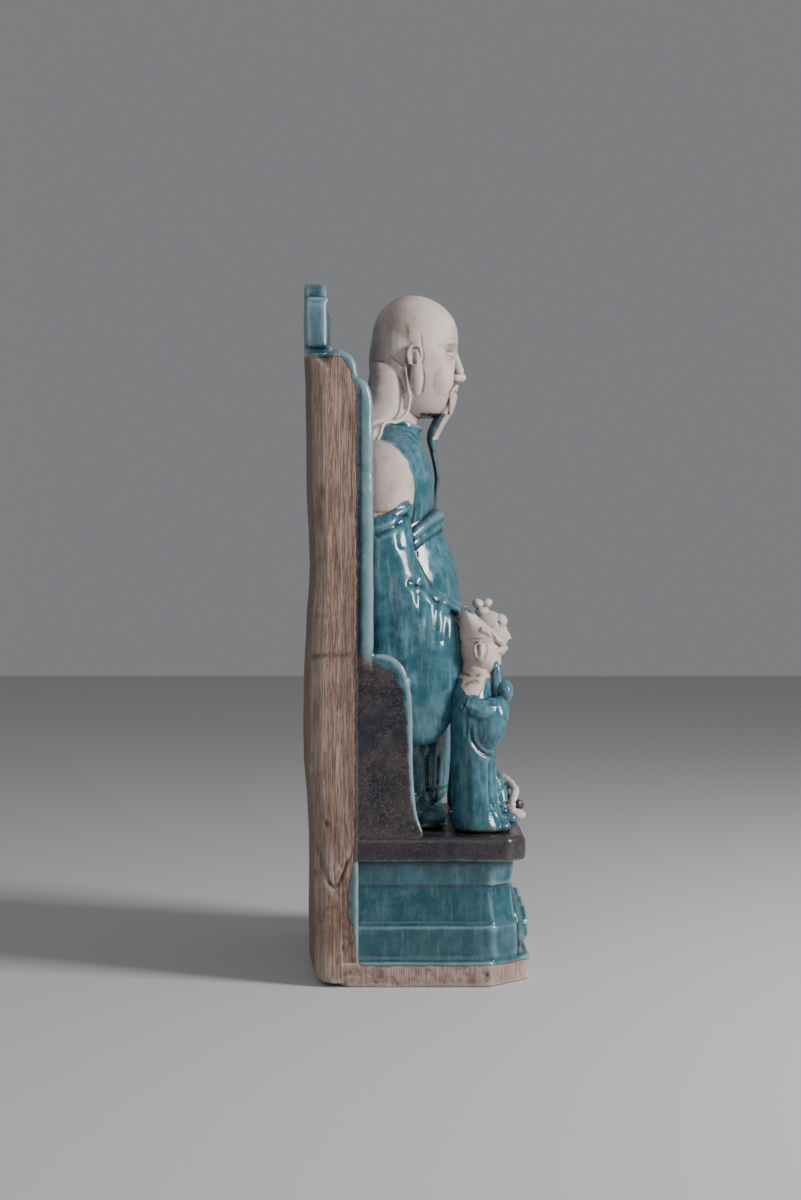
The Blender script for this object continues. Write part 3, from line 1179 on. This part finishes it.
def far_zones(spots, facing, fields):
    x, y, z = spots.T
    fields["glaze"] = np.where((y < -52) & (z < 167), 9, 164.5 - z)
    fields["dark"] = 82.2 - z
    return fields


# %% [markdown]
# ## Finishes
# The clay fired to a pinkish tan and was wiped smooth. The turquoise glaze is glassy, pale where it runs thin over
# ridges and deep blue-green where it pools. The aubergine glaze is nearly black, with a purple-grey bloom of tiny
# crystals. Each is a node group that puts out a colour, a roughness and a height, and one material lays them
# together by the fields on the skin.


# %% Node helpers
def group(name, inputs, outputs):
    """A node group with named sockets; numbers unless the name ends in Color."""
    tree = bpy.data.node_groups.new(name, "ShaderNodeTree")
    for socket, value in inputs:
        new = tree.interface.new_socket(socket, in_out="INPUT", socket_type="NodeSocketFloat")
        new.default_value = value
    for socket in outputs:
        kind = "NodeSocketColor" if socket.endswith("Color") else "NodeSocketFloat"
        tree.interface.new_socket(socket, in_out="OUTPUT", socket_type=kind)
    return tree, Bench(tree)


class Bench:
    """Puts nodes on a tree: each call gives back the new node's output."""

    def __init__(self, tree):
        self.tree = tree
        self.entry = tree.nodes.new("NodeGroupInput") if tree.interface.items_tree else None
        self.exit = tree.nodes.new("NodeGroupOutput") if tree.interface.items_tree else None

    def node(self, kind, out=0, wires=(), **settings):
        made = self.tree.nodes.new("ShaderNode" + kind)
        for key, value in settings.items():
            setattr(made, key, value)
        for socket, value in dict(wires).items():
            self.wire(value, made.inputs[socket])
        return made.outputs[out]

    def wire(self, value, socket):
        if isinstance(value, bpy.types.NodeSocket):
            self.tree.links.new(value, socket)
        else:
            socket.default_value = value

    def math(self, operation, a, b=0.0, c=0.0):
        return self.node("Math", 0, {0: a, 1: b, 2: c}, operation=operation)

    def climb(self, value, low, high, start=0.0, end=1.0):
        """value from low to high, eased on to start to end."""
        wires = {"Value": value, "From Min": low, "From Max": high, "To Min": start, "To Max": end}
        return self.node("MapRange", 0, wires, interpolation_type="SMOOTHSTEP")

    def noise(self, size, detail=3.0, rough=0.55, stretch=(1, 1, 1), offset=0.0):
        """Clouds about size mm across, stretched along the axes."""
        at = self.node("TexCoord", 3)
        scaled = self.node("Mapping", 0, {"Vector": at, "Location": (offset, 0, 0), "Scale": stretch})
        wires = {"Vector": scaled, "Scale": 1 / (size * MM), "Detail": detail, "Roughness": rough}
        return self.node("TexNoise", 0, wires)

    def cells(self, size, feature="F1", out="Distance", stretch=(1, 1, 1), randomness=1.0):
        at = self.node("TexCoord", 3)
        scaled = self.node("Mapping", 0, {"Vector": at, "Scale": stretch})
        wires = {"Vector": scaled, "Scale": 1 / (size * MM), "Randomness": randomness}
        return self.node("TexVoronoi", out, wires, feature=feature)

    def blend(self, share, a, b, mode="MIX"):
        made = self.tree.nodes.new("ShaderNodeMix")
        made.data_type = "RGBA"
        made.blend_type = mode
        made.clamp_factor = True
        for socket, value in ((0, share), (6, a), (7, b)):
            self.wire(value, made.inputs[socket])
        return made.outputs[2]

    def number(self, share, a, b):
        made = self.tree.nodes.new("ShaderNodeMix")
        for socket, value in ((0, share), (2, a), (3, b)):
            self.wire(value, made.inputs[socket])
        return made.outputs[0]

    def place(self, tree, **wires):
        made = self.tree.nodes.new("ShaderNodeGroup")
        made.node_tree = tree
        for socket, value in wires.items():
            self.wire(value, made.inputs[socket.replace("_", " ")])
        return made.outputs

    def done(self, **wires):
        for socket, value in wires.items():
            self.wire(value, self.exit.inputs[socket])


def tone(red, green, blue):
    """A colour given as it looks, 0 to 255, for a socket."""
    linear = [c / 12.92 if c <= 0.04045 else ((c + 0.055) / 1.055) ** 2.4 for c in (red / 255, green / 255, blue / 255)]
    return (*linear, 1)


# %% Bare fired clay
inputs = [("Pool", 0), ("Edge", 0), ("Stain", 0), ("Scraped", 0)]
clay_tree, clay = group("bare_clay", inputs, ["Color", "Roughness", "Height"])
scraped = clay.entry.outputs["Scraped"]
cloudy = clay.climb(clay.noise(24, 4), 0.35, 0.65)
grit = clay.noise(0.7, 3, 0.7)
smooth = clay.blend(cloudy, tone(178, 158, 150), tone(202, 186, 180))
coarse = clay.blend(cloudy, tone(134, 106, 92), tone(164, 136, 121))
shade = clay.blend(scraped, smooth, coarse)
scratch = clay.math("ABSOLUTE", clay.math("SUBTRACT", clay.noise(2.6, 3, 0.6, (1, 1, 0.035)), 0.5))
scratch = clay.climb(scratch, 0.0, 0.035, 1, 0)
fine = clay.climb(clay.noise(1.0, 4, 0.65, (1, 1, 0.06), 1.7), 0.45, 0.68)
lines = clay.math("MULTIPLY", clay.math("MAXIMUM", clay.math("MULTIPLY", scratch, 0.85), fine), scraped)
shade = clay.blend(clay.math("MULTIPLY", lines, 0.8), shade, tone(88, 58, 44))
pale = clay.climb(clay.noise(1.4, 3, 0.6, (1, 1, 0.05), 3.1), 0.54, 0.7, 0, 0.5)
shade = clay.blend(clay.math("MULTIPLY", pale, scraped), shade, tone(196, 172, 158))
shade = clay.blend(clay.climb(grit, 0.5, 0.75, 0, 0.3), shade, tone(128, 100, 88))
shade = clay.blend(clay.climb(clay.noise(3.2, 4, 0.7), 0.55, 0.75, 0, 0.35), shade, tone(150, 124, 112))
shade = clay.blend(clay.climb(clay.entry.outputs["Pool"], 0.12, 1.1, 0, 0.75), shade, tone(92, 62, 50))
shade = clay.blend(clay.climb(clay.entry.outputs["Edge"], 0.2, 1.2, 0, 0.3), shade, tone(222, 208, 200))
patchy = clay.climb(clay.noise(4, 4, 0.7), 0.36, 0.6, 0.4, 1)
shade = clay.blend(clay.math("MULTIPLY", clay.entry.outputs["Stain"], patchy), shade, tone(78, 44, 32))
rare = clay.climb(clay.noise(7, 1), 0.5, 0.58)
iron = clay.math("MULTIPLY", clay.climb(clay.cells(3.0), 0.06, 0.13, 1, 0), rare)
shade = clay.blend(clay.math("MULTIPLY", iron, 0.8), shade, tone(62, 36, 28))
height = clay.math("MULTIPLY", lines, -0.32)
height = clay.math("ADD", height, clay.math("MULTIPLY", grit, 0.16))
height = clay.math("ADD", height, clay.math("MULTIPLY", clay.noise(3.2, 4, 0.7), 0.2))
height = clay.math("SUBTRACT", height, clay.math("MULTIPLY", iron, 0.2))
clay.done(Color=shade, Roughness=clay.climb(cloudy, 0.0, 1.0, 0.52, 0.68), Height=height)

# %% Turquoise glaze
sea_tree, sea = group("turquoise_glaze", [("Pool", 0), ("Edge", 0), ("Deep", 0)], ["Color", "Roughness", "Height"])
mottle = sea.noise(8, 5, 0.62)
cloud = sea.noise(34, 3)
shade = sea.blend(sea.climb(mottle, 0.36, 0.66), tone(38, 84, 100), tone(74, 118, 132))
shade = sea.blend(sea.climb(cloud, 0.4, 0.62, 0, 0.5), shade, tone(40, 80, 88))
runs = sea.noise(2.6, 3, 0.6, (1, 1, 0.14), 2.3)
shade = sea.blend(sea.climb(runs, 0.5, 0.72, 0, 0.4), shade, tone(118, 148, 156))
shade = sea.blend(sea.math("MULTIPLY", sea.entry.outputs["Deep"], 0.75), shade, tone(20, 56, 62))
shade = sea.blend(sea.climb(sea.entry.outputs["Pool"], 0.08, 0.9, 0, 0.92), shade, tone(6, 26, 36))
shade = sea.blend(sea.climb(sea.entry.outputs["Edge"], 0.15, 1.1, 0, 0.7), shade, tone(132, 158, 164))
crackle = sea.climb(sea.cells(0.9, "DISTANCE_TO_EDGE"), 0.0, 0.05, 0.12, 0)
shade = sea.blend(crackle, shade, tone(40, 66, 74))
pits = sea.climb(sea.cells(3.6), 0.04, 0.09, 1, 0)
shade = sea.blend(sea.math("MULTIPLY", pits, 0.7), shade, tone(22, 30, 32))
height = sea.math("ADD", sea.math("MULTIPLY", sea.noise(6, 2), 0.2), sea.math("MULTIPLY", sea.noise(1.2, 2), 0.035))
height = sea.math("SUBTRACT", height, sea.math("MULTIPLY", pits, 0.12))
sea.done(Color=shade, Roughness=sea.climb(mottle, 0.35, 0.7, 0.1, 0.24), Height=height)

# %% Aubergine glaze
inputs = [("Pool", 0), ("Edge", 0), ("Deep", 0)]
night_tree, night = group("aubergine_glaze", inputs, ["Color", "Roughness", "Height"])
bloom = night.noise(16, 5, 0.65)
dust = night.noise(1.3, 4, 0.75)
shade = night.blend(night.climb(bloom, 0.36, 0.62), tone(22, 24, 34), tone(58, 50, 52))
shade = night.blend(night.climb(dust, 0.5, 0.64, 0, 0.6), shade, tone(104, 96, 96))
deep_blue = night.climb(night.noise(22, 3, 0.6, (1, 1, 1), 5.0), 0.52, 0.62, 0, 0.6)
shade = night.blend(deep_blue, shade, tone(18, 26, 46))
shade = night.blend(night.math("MULTIPLY", night.entry.outputs["Deep"], 0.7), shade, tone(14, 17, 30))
shade = night.blend(night.climb(night.entry.outputs["Edge"], 0.2, 1.4, 0, 0.5), shade, tone(84, 70, 70))
shade = night.blend(night.climb(night.entry.outputs["Pool"], 0.1, 1.0, 0, 0.7), shade, tone(8, 12, 22))
craters = night.climb(night.cells(2.6), 0.06, 0.14, 1, 0)
shade = night.blend(night.math("MULTIPLY", craters, 0.5), shade, tone(16, 12, 12))
height = night.math("ADD", night.math("MULTIPLY", night.noise(4, 3), 0.2), night.math("MULTIPLY", dust, 0.08))
height = night.math("SUBTRACT", height, night.math("MULTIPLY", craters, 0.18))
night.done(Color=shade, Roughness=night.climb(bloom, 0.3, 0.7, 0.16, 0.4), Height=height)

# %% Where one finish ends and the next begins
zone_tree, zone = group("finish_edge", [("Amount", 0), ("Wander", 1.6), ("Soft", 0.25)], ["Mask", "Rim"])
drift = zone.math("SUBTRACT", zone.noise(6, 3), 0.5)
fine_drift = zone.math("SUBTRACT", zone.noise(1.6, 3), 0.5)
drift = zone.math("ADD", zone.math("MULTIPLY", drift, 1.6), zone.math("MULTIPLY", fine_drift, 0.5))
edge = zone.math("ADD", zone.entry.outputs["Amount"], zone.math("MULTIPLY", drift, zone.entry.outputs["Wander"]))
soft = zone.entry.outputs["Soft"]
mask = zone.climb(edge, zone.math("MULTIPLY", soft, -1), soft)
rim = zone.climb(zone.math("ABSOLUTE", edge), 0.0, zone.math("MULTIPLY", soft, 5), 1, 0)
zone.done(Mask=mask, Rim=rim)

# %% The finish as it came from the kiln
kiln = bpy.data.materials.new("glazed_biscuit")
kiln.use_nodes = True
shader = kiln.node_tree.nodes["Principled BSDF"]
bench = Bench(kiln.node_tree)


def field(name):
    return bench.node("Attribute", 2, attribute_name=name)


pool, edge, stain, deep = field("pool"), field("edge"), field("stain"), field("deep")
glazed = bench.place(zone_tree, Amount=field("glaze"), Wander=1.8, Soft=0.3)
darkened = bench.place(zone_tree, Amount=field("dark"), Wander=2.2, Soft=1.2)
body_clay = bench.place(clay_tree, Pool=pool, Edge=edge, Stain=stain, Scraped=field("scraped"))
turquoise = bench.place(sea_tree, Pool=pool, Edge=edge, Deep=deep)
aubergine = bench.place(night_tree, Pool=pool, Edge=edge, Deep=deep)
glass = bench.blend(darkened["Mask"], turquoise["Color"], aubergine["Color"])
glass = bench.blend(bench.math("MULTIPLY", glazed["Rim"], 0.35), glass, tone(120, 92, 74))
glass = bench.blend(bench.math("MULTIPLY", stain, 0.75), glass, tone(104, 70, 54))
bench.wire(bench.blend(glazed["Mask"], body_clay["Color"], glass), shader.inputs["Base Color"])
shine = bench.number(darkened["Mask"], turquoise["Roughness"], aubergine["Roughness"])
bench.wire(bench.number(glazed["Mask"], body_clay["Roughness"], shine), shader.inputs["Roughness"])
relief = bench.number(darkened["Mask"], turquoise["Height"], aubergine["Height"])
relief = bench.math("ADD", relief, 0.5)
relief = bench.number(glazed["Mask"], body_clay["Height"], relief)
bump = bench.node("Bump", 0, {"Height": relief, "Distance": MM, "Strength": 1.0})
bench.wire(bump, shader.inputs["Normal"])
shader.inputs["IOR"].default_value = 1.5
print("finishes ready")

# %% Firing
plank_stains = [
    ("side", [(60, 338), (60, 8)], 2.4, 0.55),
    ("side", [(33.6, 320), (33.4, 180)], 1.2, 0.45),
    ("side", [(56, 176.4), (34, 177)], 2.0, 0.6),
    ("side", [(38.6, 58), (38.4, 40), (36, 26), (33, 12)], 3.4, 0.75),
    ("side", [(44, 84), (40, 70)], 5.0, 0.45),
    ("side", [(48, 88), (47.6, 86)], 1.6, 0.9),
    ("side", [(44, 46), (41, 36)], 3.0, 0.7),
    ("side", [(52, 120), (50, 60), (50, 20)], 4.0, 0.35),
    ("side", [(33, 176), (30, 174), (25, 173.6)], 2.6, 0.9),
    ("side", [(33, 176), (33.4, 150), (33.6, 90)], 1.2, 0.5),
]
for _ in range(22):
    y, z = chance.uniform(30, 56), chance.uniform(10, 180) ** 0.5 * 5 - 8
    plank_stains.append(("side", [(y, z), (y + chance.uniform(-1, 1), z + chance.uniform(-2, 2))], 1.0, 0.8))
fired(throne_piece, throne_skin, 190000, throne_zones, plank_stains, 1.0, 0.15, 1.0)
foot_stains = [("side", [(46, 3), (-34, 3)], 2.2, 0.3), ("side", [(34, 9), (30, 9)], 3, 0.6)]
for _ in range(34):
    y, z = chance.uniform(-42, 44), chance.uniform(2, 11)
    foot_stains.append(("side", [(y, z), (y + chance.uniform(-2, 2), z)], chance.uniform(0.7, 1.5), 0.9))
fired(plinth_piece, plinth_skin, 110000, plinth_zones, foot_stains, 0.4, 0.55, 0.6)
fired(robe_piece, robe_skin, 190000, robe_zones, [("side", [(8, 280), (14, 262)], 3.0, 0.2)])
head_stains = [
    ("side", [(4.4, 363), (3.2, 352)], 1.1, 0.75),
    ("side", [(10, 345), (4, 340)], 3.4, 0.3),
    ("side", [(24, 362), (23, 340), (22, 322)], 6.0, 0.42),
    ("side", [(14, 366), (18, 352)], 5.0, 0.25),
    ("side", [(-5, 345), (-4, 338)], 1.2, 0.4),
]
fired(head_piece, head_skin, 190000, head_zones, head_stains)
near_stains = [
    ("side", [(-26, 166), (-31, 165), (-35, 166)], 1.0, 0.8),
    ("side", [(-26, 160.4), (-30, 162.4), (-34, 162)], 1.3, 0.8),
    ("side", [(-36, 171), (-33, 173)], 2.0, 0.5),
]
fired(near_piece, near_skin, 115000, near_zones, near_stains)
fired(far_piece, far_skin, 115000, far_zones)
fired(creature_piece, creature_skin, 60000)
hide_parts(NODE)

# %% Sizes
size = {"cad": [list(map(float, corner)) for corner in cad_box], "visual": [list(map(float, c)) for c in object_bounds()]}
for name, (a, b) in size.items():
    print(name, [round(v / MM, 1) for v in a], [round(v / MM, 1) for v in b])
